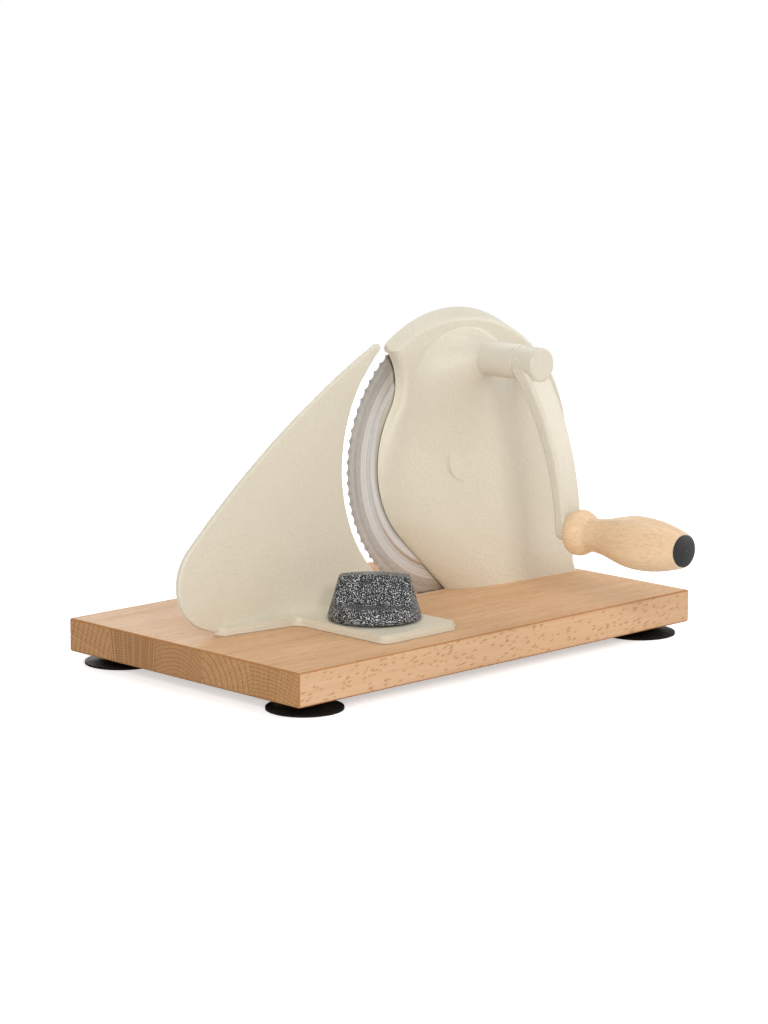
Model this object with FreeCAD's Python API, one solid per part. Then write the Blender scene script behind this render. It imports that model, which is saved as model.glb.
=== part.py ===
import FreeCAD, Part
import math
import os

"""Hand cranked bread slicer: a round serrated blade in a cast housing, on a beech board.

While a piece is drawn, X runs along the board from its left end, Y across it from the
operator's long edge, and Z up from its top face. save() moves every piece into the part's
own frame: the origin is under the middle of the whole slicer, on the table, +X along the
board, +Y from the operator to the loaf, +Z up. All sizes are millimetres.
"""

Vec = FreeCAD.Vector
X_AXIS = Vec(1, 0, 0)
Y_AXIS = Vec(0, 1, 0)
Z_AXIS = Vec(0, 0, 1)

# ------------------------------------------------------------------ driving dimensions

# Clearances
seat_gap = 0.3            # between a moving piece and what it passes over
running_gap = 0.05        # radial, between a shaft and its bearing
bolt_gap = 0.25           # radial, between a screw shank and its hole
slide_gap = 0.2           # sideways, between a guide rib and its groove

# Beech board
board_length = 325.0
board_width = 200.0
board_height = 20.0
board_edge_round = 1.5

# Suction feet
foot_inset_x = 23.0
foot_inset_y = 20.5
foot_height = 6.9
foot_rim_radius = 22.1
foot_rim_width = 2.0
foot_neck_radius = 8.5
foot_neck_height = 2.0
foot_hollow_height = 3.0
foot_bow = 0.9
foot_lip = 1.2
foot_screw_radius = 2.0
foot_screw_head_radius = 4.2
foot_screw_head_height = 2.2
foot_screw_grip = 13.0

# Blade
blade_radius = 86.4
blade_thickness = 1.4
blade_dip = 5.1           # how far the blade reaches into the board
blade_axis_setback = 100.8  # from the board's right end to the blade's axis
blade_front_y = 107.0
tooth_count = 84
tooth_depth = 1.5
bevel_width = 9.6
edge_thickness = 0.45
dish_radius = 67.0
dish_step = 0.5
dish_slope_width = 2.0
slot_side_gap = 0.9
slot_end_gap = 4.0
slot_floor_gap = 2.4

# Gear pair
gear_module = 2.0
blade_gear_teeth = 46
pinion_teeth = 18
gear_width = 4.6
pressure_angle = 20.0
root_depth = 2.5          # from the pitch circle to the bottom of a tooth gap
tooth_backlash = 0.16
pinion_back_gap = 0.5
gear_lightening_radius = 7.0
gear_lightening_count = 6

# Bearings and shafts
blade_boss_radius = 8.0
blade_bush_wall = 2.0
blade_end_play = 0.2
blade_washer_radius = 12.8
blade_washer_thickness = 1.2
blade_screw_radius = 3.0
blade_screw_head_radius = 9.0
blade_screw_rim_height = 2.0
blade_screw_crown = 1.2
blade_screw_slot_width = 1.8
blade_screw_slot_depth = 2.2
blade_screw_grip = 7.5
rivet_radius = 2.0
rivet_head_radius = 3.4
rivet_head_height = 0.9
rivet_circle_radius = 17.0
rivet_count = 4
shaft_radius = 5.0
shaft_bush_wall = 1.5
thrust_washer_radius = 8.0
thrust_washer_thickness = 0.8

# Cast housing
wall = 3.0
dome_gap = 2.5            # between the blade's teeth and the dome's inner wall
dome_draft = 20.0         # the rim's slope from its back edge to the ridge
rim_setback = 0.3         # the rim lies this far in front of the blade's back face
face_depth = 13.6         # from the rim forward to the face, on the blade's axis
face_lean = 4.4           # the face turns away from the blade by this angle
base_width_back = 97.8    # from the blade's axis to the right foot, at the rim
base_width_front = 95.2   # the same, where the face's ridge meets it
flare_width = 3.6
flare_height = 10.6
flare_bow = 1.0
ridge_round = 2.8
crescent_radius = 62.0    # the housing's round edge beside the open part of the blade
crescent_low_angle = 226.0
crescent_high_angle = 147.0
throat_radius = 30.0
nose_radius = 3.5
lip_gap = 0.4             # between the housing's lip and the blade
axle_pad_radius = 13.0
axle_pad_height = 0.35
boss_radius = 10.5
boss_length = 27.8
boss_round = 0.8
mound_height = 19.5
mound_radius = 44.5
mound_drop = 27.0         # how far the mound's foot is drawn down below the boss
mound_root = 1.25         # above 1, the mound leaves the boss without a corner
mound_hollow = 1.9        # how much the mound's flanks are hollowed towards the face
mound_sections = 15
roll_shift = 25.0         # how far the rolled crescent edge reaches in, near the foot
roll_least = 2.0          # how far it reaches in elsewhere
roll_turn = 60.0          # direction away from the widest part of the roll
roll_sections = 9
run_out = 0.04            # how far the mound and the roll cross the face they run into
edge_land = 6.0           # solid metal behind the crescent edge
recess_gap = 1.5          # around the blade, where it sinks into the housing's back
inner_boss_wall = 3.4
screw_post_radius = 6.0
screw_post_height = 21.0
housing_screw_spread = 29.0
housing_screw_centre = 49.0
housing_screw_setback = 8.0
housing_screw_radius = 2.5
housing_screw_grip = 17.0
housing_screw_head_radius = 5.0
housing_screw_head_height = 3.0
housing_screw_recess = 8.0
screw_washer_radius = 7.0
screw_washer_thickness = 1.2

# Crank
crank_reach = 96.3        # from the crank's axis to the grip's
hub_radius = 10.0
hub_length = 16.3
hub_round = 1.2
arm_root_inset = 0.3      # the arm is this much slimmer than its hub on each side
hub_wall = 4.0
arm_foot_width = 15.5
arm_foot_thickness = 8.7
arm_foot_drop = 5.6       # how far the arm reaches below the grip's axis
arm_foot_round = 5.0
arm_sweep = 33.6          # how far the arm's foot stands in front of the hub's back end
arm_root_back = 5.0       # the arm's back curve meets the crank's axis behind the hub
arm_root_thickness = 14.0
arm_back_bow = 9.2
arm_front_bow = 7.6
arm_edge_round = 2.6
grip_seat_radius = 5.4
grip_seat_height = 1.4

# Turned grip and its bolt
grip_length = 83.0
grip_base_radius = 12.4
grip_collar_radius = 13.6
grip_neck_radius = 9.9
grip_belly_radius = 15.6
grip_end_radius = 10.1
grip_collar_at = 3.6
grip_neck_at = 14.5
grip_belly_at = 50.0
grip_base_flare = 60.0    # slope of the grip's outline at its base, in degrees
grip_end_taper = 17.0     # the same at its end, inwards
grip_fullness = 0.38      # how far the outline holds its slope at each station
grip_bolt_radius = 3.0
grip_bolt_grip = 8.0
grip_bolt_head_radius = 5.5
grip_bolt_head_height = 4.0
grip_bolt_recess = 10.0
grip_washer_radius = 7.0
grip_washer_thickness = 1.0
cap_radius = 9.3
cap_rim_height = 0.7
cap_dome_height = 1.0
cap_plug_length = 5.0

# Stop plate
plate_thickness = 4.0
plate_gap = 0.3           # between the plate's guiding face and the cutting plane
plate_travel = 17.0
plate_left_reach = 221.6  # from the blade's axis to the plate's left side
plate_corner_radius = 28.6
plate_corner_height = 31.0
plate_corner_angle = 135.0
plate_corner_low_angle = 250.0
plate_tip_radius = 2.4
plate_tip_angle = 132.0
plate_tip_turn = 118.0
plate_bow = 6.9
crescent_clearance = 6.0
crescent_offset_x = -1.8
crescent_offset_z = 2.9
plate_edge_round = 1.4
plate_toe_height = 5.0    # the crescent ends this high, in an upright line
sole_height = 4.6
sole_step_height = 2.3
sole_step = 1.2
sole_left_reach = 30.0    # from the knob's axis to the sole's left side
sole_right_reach = 29.8
sole_front_y = 17.6
sole_corner_radius = 5.5
flange_depth_left = 5.0
flange_depth_right = 12.5
flange_left_reach = 81.4  # from the knob's axis to the flange's left end
flange_right_reach = 57.6
flange_end = 1.5
rib_width = 4.0
rib_depth = 2.5
rib_length = 32.0
rib_back_y = 76.0
rib_spacing = 40.0
groove_end_gap = 1.0

# Clamp under the knob
knob_setback = 111.8      # from the blade's axis to the knob's
knob_y = 57.6
clamp_bolt_radius = 4.0
clamp_head_radius = 9.0
clamp_head_height = 4.0
clamp_head_recess = 5.0
clamp_slot_gap = 0.4
clamp_bolt_stand = 19.0
clamp_washer_radius = 12.0
clamp_washer_thickness = 1.0
knob_base_radius = 27.3
knob_top_radius = 20.6
knob_height = 25.6
knob_base_height = 8.6
knob_crown = 1.5
knob_rim_height = 1.2
knob_bar_foot_width = 25.0
knob_bar_top_width = 12.0
knob_scoop = 2.2
knob_bar_angle = -48.0
knob_edge_round = 1.2
insert_wall = 3.0
insert_length = 12.0
knob_bore_spare = 2.0     # free height over the bolt's end

# ------------------------------------------------------------------ places that follow

blade_axis_x = board_length - blade_axis_setback
blade_axis_z = blade_radius - blade_dip
blade_back_y = blade_front_y + blade_thickness
rim_y = blade_back_y - rim_setback
lip_back_y = blade_front_y - lip_gap
dome_radius = blade_radius + dome_gap + wall
face_y = rim_y - face_depth

centre_distance = gear_module * (blade_gear_teeth + pinion_teeth) / 2
crank_z = blade_axis_z + centre_distance
gear_front_y = blade_front_y - gear_width
pinion_back_y = blade_front_y - pinion_back_gap
pinion_front_y = pinion_back_y - gear_width

blade_bush_outer = blade_boss_radius + running_gap + blade_bush_wall
blade_boss_end_y = blade_back_y + blade_end_play
shaft_bush_bore = shaft_radius + running_gap
shaft_bush_outer = shaft_bush_bore + shaft_bush_wall
thrust_washer_y = pinion_front_y - thrust_washer_thickness
bush_back_y = thrust_washer_y - seat_gap

mound_top_y = face_y - mound_height
boss_front_y = mound_top_y - boss_length
hub_back_y = boss_front_y - seat_gap
hub_front_y = hub_back_y - hub_length
arm_foot_back_y = hub_back_y - arm_sweep
inner_boss_radius = shaft_bush_outer + inner_boss_wall
housing_screw_y = rim_y - housing_screw_setback
arm_foot_front_y = arm_foot_back_y - arm_foot_thickness
grip_z = crank_z - crank_reach
grip_seat_y = arm_foot_front_y - grip_seat_height
grip_base_y = grip_seat_y - grip_washer_thickness - seat_gap
grip_end_y = grip_base_y - grip_length
grip_bolt_seat_y = grip_end_y + grip_bolt_recess
grip_bore_radius = grip_bolt_radius + running_gap
grip_recess_radius = grip_bolt_head_radius + bolt_gap
cap_end_y = grip_end_y - cap_rim_height - cap_dome_height

knob_x = blade_axis_x - knob_setback
sole_left_x = knob_x - sole_left_reach
sole_right_x = knob_x + sole_right_reach
flange_left_x = knob_x - flange_left_reach
flange_right_x = knob_x + flange_right_reach
plate_left_x = blade_axis_x - plate_left_reach
plate_back_y = blade_front_y - plate_gap
plate_front_y = plate_back_y - plate_thickness
sole_z = seat_gap
sole_top_z = sole_z + sole_height
clamp_washer_z = sole_top_z + slide_gap
knob_z = clamp_washer_z + clamp_washer_thickness + slide_gap
insert_bore_radius = clamp_bolt_radius + running_gap
insert_outer_radius = insert_bore_radius + insert_wall

rear_y = board_width + max(0.0, foot_rim_radius - foot_inset_y)
origin = Vec(board_length / 2, (rear_y + cap_end_y) / 2, -(board_height + foot_height))

blade_axis = Vec(blade_axis_x, 0, blade_axis_z)
crank_axis = Vec(blade_axis_x, 0, crank_z)
grip_axis = Vec(blade_axis_x, 0, grip_z)
clamp_axis = Vec(knob_x, knob_y, 0)

# ------------------------------------------------------------------ drawing helpers


def in_xz(y):
    """Draw a flat outline of (x, z) points in the plane at y."""
    return lambda point: Vec(point[0], y, point[1])


def in_yz(x):
    """Draw a flat outline of (y, z) points in the plane at x."""
    return lambda point: Vec(x, point[0], point[1])


def in_xy(z):
    """Draw a flat outline of (x, y) points in the plane at z."""
    return lambda point: Vec(point[0], point[1], z)


def outline(place, start, *steps):
    """Closed wire from start. A step is a point, or a pair of points: via and end of an arc."""
    edges = []
    here = place(start)
    for step in steps + (start,):
        if isinstance(step[0], tuple):
            there = place(step[1])
            edges.append(Part.Arc(here, place(step[0]), there).toShape())
        else:
            there = place(step)
            if there.distanceToPoint(here) < 1e-6:
                continue
            edges.append(Part.LineSegment(here, there).toShape())
        here = there
    return Part.Wire(edges)


def slab(wire, direction):
    """Solid swept from a flat wire along a vector."""
    return Part.Face(wire).extrude(direction)


def on_circle(centre, radius, degrees):
    """Flat point on a circle."""
    angle = math.radians(degrees)
    return (centre[0] + radius * math.cos(angle), centre[1] + radius * math.sin(angle))


def bowed(start, end, bow):
    """Middle point of an arc between two flat points that stands off their chord by bow."""
    chord = math.hypot(end[0] - start[0], end[1] - start[1])
    across = ((start[1] - end[1]) / chord, (end[0] - start[0]) / chord)
    return ((start[0] + end[0]) / 2 + bow * across[0], (start[1] + end[1]) / 2 + bow * across[1])


def rod(axis, radius, y_low, y_high):
    """Cylinder along Y about the line through axis, between two planes."""
    base = Vec(axis.x, y_low, axis.z)
    return Part.makeCylinder(radius, y_high - y_low, base, Y_AXIS)


def post(axis, radius, z_low, z_high):
    """Upright cylinder about the line through axis, between two heights."""
    return Part.makeCylinder(radius, z_high - z_low, Vec(axis.x, axis.y, z_low), Z_AXIS)


def turned(axis, *profile):
    """Solid turned about the Y line through axis. The profile is drawn in (y, radius)."""
    wire = outline(lambda point: Vec(axis.x, point[0], axis.z + point[1]), *profile)
    base = Vec(axis.x, 0, axis.z)
    return Part.Face(wire).revolve(base, Y_AXIS, 360)


def turned_up(axis, *profile):
    """Solid turned about the upright line through axis. The profile is in (radius, z)."""
    wire = outline(lambda point: Vec(axis.x + point[0], axis.y, point[1]), *profile)
    return Part.Face(wire).revolve(Vec(axis.x, axis.y, 0), Z_AXIS, 360)


def crown_via(radius, height):
    """Half way along a shallow dome's section: how far from its edge, and how far out."""
    sphere = (radius ** 2 + height ** 2) / (2 * height)
    half = math.asin(radius / sphere) / 2
    return (height - sphere * (1 - math.cos(half)), sphere * math.sin(half))


def around(shape, axis, count, direction=Y_AXIS):
    """Copies of a shape spaced evenly about an axis."""
    base = Vec(axis.x, axis.y, axis.z)
    copies = []
    for index in range(count):
        copy = shape.copy()
        copy.rotate(base, direction, 360.0 * index / count)
        copies.append(copy)
    return copies


def edges_where(shape, test):
    """Edges whose middle point passes the test."""
    picked = []
    for edge in shape.Edges:
        middle = edge.valueAt((edge.FirstParameter + edge.LastParameter) / 2)
        if test(middle, edge):
            picked.append(edge)
    return picked


def save(name, shape):
    """Move a finished piece, or a group of them, into the part's frame and write it."""
    placed = shape.copy()
    placed.translate(origin * -1)
    if not placed.isValid():
        print("not valid:", name)
    placed.exportStep("parts/%s.step" % name)


# ------------------------------------------------------------------ board and feet


def foot_centres():
    """Centre lines of the four suction feet, by name."""
    left = foot_inset_x
    right = board_length - foot_inset_x
    near = foot_inset_y
    far = board_width - foot_inset_y
    return {
        "suction_foot_front_left": Vec(left, near, 0),
        "suction_foot_front_right": Vec(right, near, 0),
        "suction_foot_rear_left": Vec(left, far, 0),
        "suction_foot_rear_right": Vec(right, far, 0),
    }


def housing_screw_axes():
    """Centre lines of the two screws that hold the housing from under the board."""
    middle = blade_axis_x + housing_screw_centre
    half = housing_screw_spread
    return [Vec(middle - half, housing_screw_y, 0), Vec(middle + half, housing_screw_y, 0)]


def blade_slot():
    """Slot in the board's top that the blade's lowest part runs in."""
    depth = blade_dip + slot_floor_gap
    half_chord = math.sqrt(blade_radius ** 2 - blade_axis_z ** 2)
    left = blade_axis_x - half_chord - slot_end_gap
    right = blade_axis_x + half_chord + slot_end_gap
    front = blade_front_y - slot_side_gap
    width = blade_thickness + 2 * slot_side_gap
    return Part.makeBox(right - left, width, depth, Vec(left, front, -depth))


def guide_grooves():
    """Pair of grooves in the board that the stop plate's ribs slide in."""
    length = rib_length + plate_travel + 2 * groove_end_gap
    width = rib_width + 2 * slide_gap
    depth = rib_depth + seat_gap
    start_y = rib_back_y + groove_end_gap - length
    grooves = []
    for side in (-1, 1):
        left = knob_x + side * rib_spacing / 2 - width / 2
        grooves.append(Part.makeBox(width, length, depth, Vec(left, start_y, -depth)))
    return grooves


def make_board():
    """Beech board with its edges eased, bored from below for every fastener."""
    board = Part.makeBox(board_length, board_width, board_height, Vec(0, 0, -board_height))
    board = board.makeFillet(board_edge_round, board.Edges)
    cuts = [blade_slot()] + guide_grooves()
    for axis in housing_screw_axes():
        cuts.append(post(axis, housing_screw_radius + bolt_gap, -board_height, 0))
        recess = screw_washer_radius + 2 * bolt_gap
        cuts.append(post(axis, recess, -board_height, housing_screw_recess - board_height))
    cuts.append(post(clamp_axis, clamp_bolt_radius + bolt_gap, -board_height, 0))
    recess = clamp_head_radius + 2 * bolt_gap
    cuts.append(post(clamp_axis, recess, -board_height, clamp_head_recess - board_height))
    for axis in foot_centres().values():
        cuts.append(post(axis, foot_screw_radius, -board_height, foot_screw_grip - board_height))
    return board.cut(cuts)


def make_foot(axis):
    """Rubber suction cup: a neck that flares to a thin lip, hollow underneath."""
    top = -board_height
    table = top - foot_height
    neck = (foot_neck_radius, top - foot_neck_height)
    lip = (foot_rim_radius, table + foot_lip)
    rim = (foot_rim_radius - foot_rim_width, table)
    roof = (foot_neck_radius, table + foot_hollow_height)
    cup = turned_up(
        axis, (0, top), (foot_neck_radius, top), neck, (bowed(neck, lip, -foot_bow), lip),
        (foot_rim_radius, table), rim, (bowed(rim, roof, foot_bow), roof), (0, roof[1]))
    return cup.cut(post(axis, foot_screw_radius + bolt_gap, table, top))


def make_foot_screw(axis):
    """Screw up through the cup into the board."""
    roof_z = foot_hollow_height - foot_height - board_height
    head = post(axis, foot_screw_head_radius, roof_z - foot_screw_head_height, roof_z)
    shank = post(axis, foot_screw_radius, roof_z, foot_screw_grip - board_height)
    return head.fuse(shank).removeSplitter()


# ------------------------------------------------------------------ gears


def involute(angle):
    """Involute function of an angle in radians."""
    return math.tan(angle) - angle


def gear_outline(teeth, turn):
    """Flat points round a spur gear, with involute flanks of a few facets.

    turn is the direction of one tooth's middle, in degrees.
    """
    pitch = gear_module * teeth / 2
    base = pitch * math.cos(math.radians(pressure_angle))
    tip = pitch + gear_module
    root = pitch - root_depth
    half_tooth = (math.pi / (2 * teeth) - tooth_backlash / (4 * pitch)
                  + involute(math.radians(pressure_angle)))
    flank_start = max(base, root)
    radii = [flank_start, (flank_start + pitch) / 2, pitch, (pitch + tip) / 2, tip]
    flank = [(r, half_tooth - involute(math.acos(min(1.0, base / r)))) for r in radii]
    half_root = half_tooth if root < base else flank[0][1]
    points = []
    for index in range(teeth):
        middle = math.radians(turn) + 2 * math.pi * index / teeth
        right_side = [(root, -half_root)] + [(r, -a) for r, a in flank]
        left_side = [(r, a) for r, a in reversed(flank)] + [(root, half_root)]
        for radius, angle in right_side + left_side:
            points.append((radius * math.cos(middle + angle), radius * math.sin(middle + angle)))
    return points


def make_gear(axis, teeth, turn, y_low, width):
    """Toothed disc about a Y line."""
    points = [Vec(axis.x + u, y_low, axis.z + v) for u, v in gear_outline(teeth, turn)]
    return slab(Part.makePolygon(points + points[:1]), Y_AXIS * width)


def make_blade_gear():
    """Large gear riveted to the blade, lightened by a ring of holes."""
    gear = make_gear(blade_axis, blade_gear_teeth, 90.0, gear_front_y, gear_width)
    bore = rod(blade_axis, blade_bush_outer, gear_front_y, blade_front_y)
    root = gear_module * blade_gear_teeth / 2 - root_depth
    hub = rivet_circle_radius + rivet_head_radius
    ring = Vec(blade_axis_x + (root + hub) / 2, 0, blade_axis_z)
    hole = rod(ring, gear_lightening_radius, gear_front_y, blade_front_y)
    holes = around(hole, blade_axis, gear_lightening_count)
    return gear.cut([bore] + holes + rivet_shanks(rivet_radius))


def make_pinion():
    """Small gear on the crank's shaft, set with a gap towards the large gear's tooth."""
    turn = 270.0 + 180.0 / pinion_teeth
    gear = make_gear(crank_axis, pinion_teeth, turn, pinion_front_y, gear_width)
    return gear.cut(rod(crank_axis, shaft_radius, pinion_front_y, pinion_back_y))


# ------------------------------------------------------------------ blade


def rivet_shanks(radius):
    """The rivets' straight parts through the gear and the blade."""
    place = Vec(blade_axis_x + rivet_circle_radius, 0, blade_axis_z)
    return around(rod(place, radius, gear_front_y, blade_back_y), blade_axis, rivet_count)


def make_blade():
    """Round blade with a wavy edge, a wide bevel on its front and a shallow dished middle."""
    front = blade_front_y
    back = blade_back_y
    bevel_start = blade_radius - bevel_width
    step_end = dish_radius + dish_slope_width
    disc = turned(
        blade_axis, (front, 0), (front, dish_radius), (front + dish_step, step_end),
        (front + dish_step, bevel_start), (back - edge_thickness, blade_radius),
        (back, blade_radius), (back, 0))
    return disc.common(wavy_disc()).cut(
        [rod(blade_axis, blade_bush_outer, front, back)] + rivet_shanks(rivet_radius))


def wavy_disc():
    """Disc with scallops between its teeth, thicker than the blade."""
    step = 360.0 / tooth_count
    centre = (blade_axis_x, blade_axis_z)
    steps = []
    for index in range(tooth_count):
        valley = on_circle(centre, blade_radius - tooth_depth, (index + 0.5) * step)
        tip = on_circle(centre, blade_radius, (index + 1) * step)
        steps.append((valley, tip))
    start = on_circle(centre, blade_radius, 0)
    steps[-1] = (steps[-1][0], start)
    wire = outline(in_xz(blade_front_y - blade_thickness), start, *steps)
    return slab(wire, Y_AXIS * (3 * blade_thickness))


def make_blade_bush():
    """Bronze bush pressed into the gear and the blade, running on the housing's boss."""
    sleeve = rod(blade_axis, blade_bush_outer, gear_front_y, blade_back_y)
    return sleeve.cut(rod(blade_axis, blade_boss_radius + running_gap, gear_front_y, blade_back_y))


def make_rivets():
    """Rivets with round heads on the blade's back face."""
    rivets = []
    head_place = Vec(blade_axis_x + rivet_circle_radius, 0, blade_axis_z)
    crown = blade_back_y + rivet_head_height
    rise, out = crown_via(rivet_head_radius, rivet_head_height)
    head = turned(head_place, (blade_back_y, 0), (blade_back_y, rivet_head_radius),
                  ((blade_back_y + rise, out), (crown, 0)))
    for shank, cap in zip(rivet_shanks(rivet_radius), around(head, blade_axis, rivet_count)):
        rivets.append(shank.fuse(cap).removeSplitter())
    return Part.makeCompound(rivets)


def make_blade_washer():
    """Washer that keeps the blade on its boss."""
    back = blade_boss_end_y + blade_washer_thickness
    washer = rod(blade_axis, blade_washer_radius, blade_boss_end_y, back)
    return washer.cut(rod(blade_axis, blade_screw_radius + bolt_gap, blade_boss_end_y, back))


def make_blade_screw():
    """Screw with a wide slotted head, turned with a coin."""
    seat = blade_boss_end_y + blade_washer_thickness
    edge = seat + blade_screw_rim_height
    top = edge + blade_screw_crown
    shank_end = blade_boss_end_y - blade_screw_grip
    rise, out = crown_via(blade_screw_head_radius, blade_screw_crown)
    screw = turned(
        blade_axis, (shank_end, 0), (shank_end, blade_screw_radius),
        (seat, blade_screw_radius), (seat, blade_screw_head_radius),
        (edge, blade_screw_head_radius), ((edge + rise, out), (top, 0)))
    corner = Vec(blade_axis_x - blade_screw_slot_width / 2, top - blade_screw_slot_depth,
                 blade_axis_z - blade_screw_head_radius)
    slot = Part.makeBox(blade_screw_slot_width, blade_screw_slot_depth,
                        2 * blade_screw_head_radius, corner)
    return screw.cut(slot)


# ------------------------------------------------------------------ housing


def face_at(x, inset=0.0):
    """Y of the housing's leaning front face at x, or of its inner side."""
    return face_y + inset - (x - blade_axis_x) * math.tan(math.radians(face_lean))


def dome_outline(y, inset=0.0):
    """The housing's outline in the plane at y: round over the blade, straight to its foot."""
    forward = rim_y - y
    radius = dome_radius - inset - forward * math.tan(math.radians(dome_draft))
    narrowing = (base_width_back - base_width_front) / (rim_y - face_at(
        blade_axis_x + base_width_front))
    foot = base_width_back - inset - forward * narrowing
    base_z = inset
    left = blade_axis_x - radius
    right = blade_axis_x + radius
    foot_x = blade_axis_x + foot
    flare = (foot_x - flare_width, flare_height)
    toe = (foot_x, base_z)
    return outline(
        in_xz(y), (left, base_z), (left, blade_axis_z),
        ((blade_axis_x, blade_axis_z + radius), (right, blade_axis_z)),
        flare, (bowed(flare, toe, -flare_bow), toe))


def dome_solid(y_front, y_back, inset=0.0):
    """Body whose outline narrows from the rim forward."""
    wires = [dome_outline(y_back, inset), dome_outline(y_front, inset)]
    return Part.makeLoft(wires, True, True)


def behind_face(inset=0.0):
    """Everything behind the leaning front face."""
    left = blade_axis_x - 2 * dome_radius
    right = blade_axis_x + 2 * dome_radius
    top = blade_axis_z + 2 * dome_radius
    wire = outline(in_xy(-dome_radius), (left, face_at(left, inset)),
                   (right, face_at(right, inset)), (right, rim_y + wall), (left, rim_y + wall))
    return slab(wire, Z_AXIS * (top + dome_radius))


def on_face(point):
    """Whether a point lies on the housing's leaning face."""
    return abs(point.y - face_at(point.x)) < 0.01


def nose_circle():
    """Centre of the small round nose that joins the throat to the dome's edge."""
    apart = crescent_radius + throat_radius
    from_blade = dome_radius - nose_radius
    from_throat = throat_radius + nose_radius
    along = (from_blade ** 2 - from_throat ** 2 + apart ** 2) / (2 * apart)
    across = math.sqrt(from_blade ** 2 - along ** 2)
    angle = math.radians(crescent_high_angle) - math.atan2(across, along)
    return (blade_axis_x + from_blade * math.cos(angle),
            blade_axis_z + from_blade * math.sin(angle))


def throat_centre():
    """Centre of the housing's concave throat, above the crescent."""
    axis = (blade_axis_x, blade_axis_z)
    return on_circle(axis, crescent_radius + throat_radius, crescent_high_angle)


def throat_angle():
    """Direction from the throat's centre to the nose."""
    throat = throat_centre()
    nose = nose_circle()
    return math.degrees(math.atan2(nose[1] - throat[1], nose[0] - throat[0]))


def crescent_outline(y, inset=0.0, shift=0.0):
    """Outline of everything to the right of the housing's S-shaped edge.

    The edge runs up a straight line, round the crescent, through the throat and off past
    the dome. A shift moves it in, most of all at its foot.
    """
    axis = on_circle((blade_axis_x, blade_axis_z), shift, roll_turn)
    radius = crescent_radius - inset
    throat = throat_centre()
    across = (throat[0] - axis[0], throat[1] - axis[1])
    throat_reach = math.hypot(across[0], across[1]) - radius
    high_angle = math.degrees(math.atan2(across[1], across[0]))
    low_z = -wall
    low = on_circle(axis, radius, crescent_low_angle)
    low_x = low[0] + (low_z - low[1]) / math.tan(math.radians(crescent_low_angle + 90))
    middle = on_circle(axis, radius, (crescent_low_angle + high_angle) / 2)
    high = on_circle(axis, radius, high_angle)
    turn = throat_angle()
    via = on_circle(throat, throat_reach, (high_angle - 180 + turn) / 2)
    end = on_circle(throat, throat_reach, turn)
    beyond = on_circle(end, dome_radius / 2, turn + 90)
    right = blade_axis_x + 2 * dome_radius
    return outline(in_xz(y), (low_x, low_z), low, (middle, high), (via, end), beyond,
                   (right, beyond[1]), (right, low_z))


def crescent_area(y_front, y_back, inset=0.0):
    """Everything to the right of the S-shaped edge, between two planes."""
    return slab(crescent_outline(y_front, inset), Y_AXIS * (y_back - y_front))


def rolled_edge_side():
    """The housing's side of the S-shaped edge, rolled back from the face to the lip."""
    wires = []
    for index in range(roll_sections):
        turn = math.pi / 2 * index / (roll_sections - 1)
        reach = 1 - math.sin(turn)
        depth = 1 - math.cos(turn)
        y = face_y + (lip_back_y - face_y) * depth - run_out * (1 - depth)
        wire = crescent_outline(y, roll_least * reach, roll_shift * reach)
        wire.rotate(Vec(blade_axis_x, y, 0), Z_AXIS, -face_lean * (1 - depth))
        wires.append(wire)
    roll = Part.makeLoft(wires, True, False)
    return roll.fuse(crescent_area(lip_back_y, rim_y + 2 * wall))


def nose_cut():
    """Rounds the housing's corner where the throat meets the dome."""
    throat = throat_centre()
    nose = nose_circle()
    turn = throat_angle()
    to_dome = math.degrees(math.atan2(nose[1] - blade_axis_z, nose[0] - blade_axis_x))
    start = on_circle(throat, throat_radius, turn)
    via = on_circle(nose, nose_radius, (turn + 180 + to_dome) / 2)
    end = on_circle(nose, nose_radius, to_dome)
    above = on_circle(end, dome_radius / 2, to_dome)
    beyond = on_circle(start, dome_radius / 2, turn + 90)
    front = boss_front_y - wall
    wire = outline(in_xz(front), start, (via, end), above, beyond)
    return slab(wire, Y_AXIS * (rim_y + wall - front))


def boss_mound():
    """The face's mound that carries the crank's boss, spreading like a trumpet's bell.

    It leaves the boss smoothly and runs out flat into the leaning face, mostly downwards.
    """
    wires = []
    for index in range(mound_sections):
        way = index / (mound_sections - 1)
        spread = way ** mound_root
        rise = (1 - way) ** mound_hollow
        radius = boss_radius + (mound_radius - boss_radius) * spread
        centre = Vec(blade_axis_x, face_y - mound_height * rise + run_out * way ** 4,
                     crank_z - mound_drop * spread)
        ring = Part.Wire(Part.makeCircle(radius, centre, Y_AXIS))
        ring.rotate(centre, Z_AXIS, -face_lean * spread)
        wires.append(ring)
    return Part.makeLoft(wires, True, False)


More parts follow.
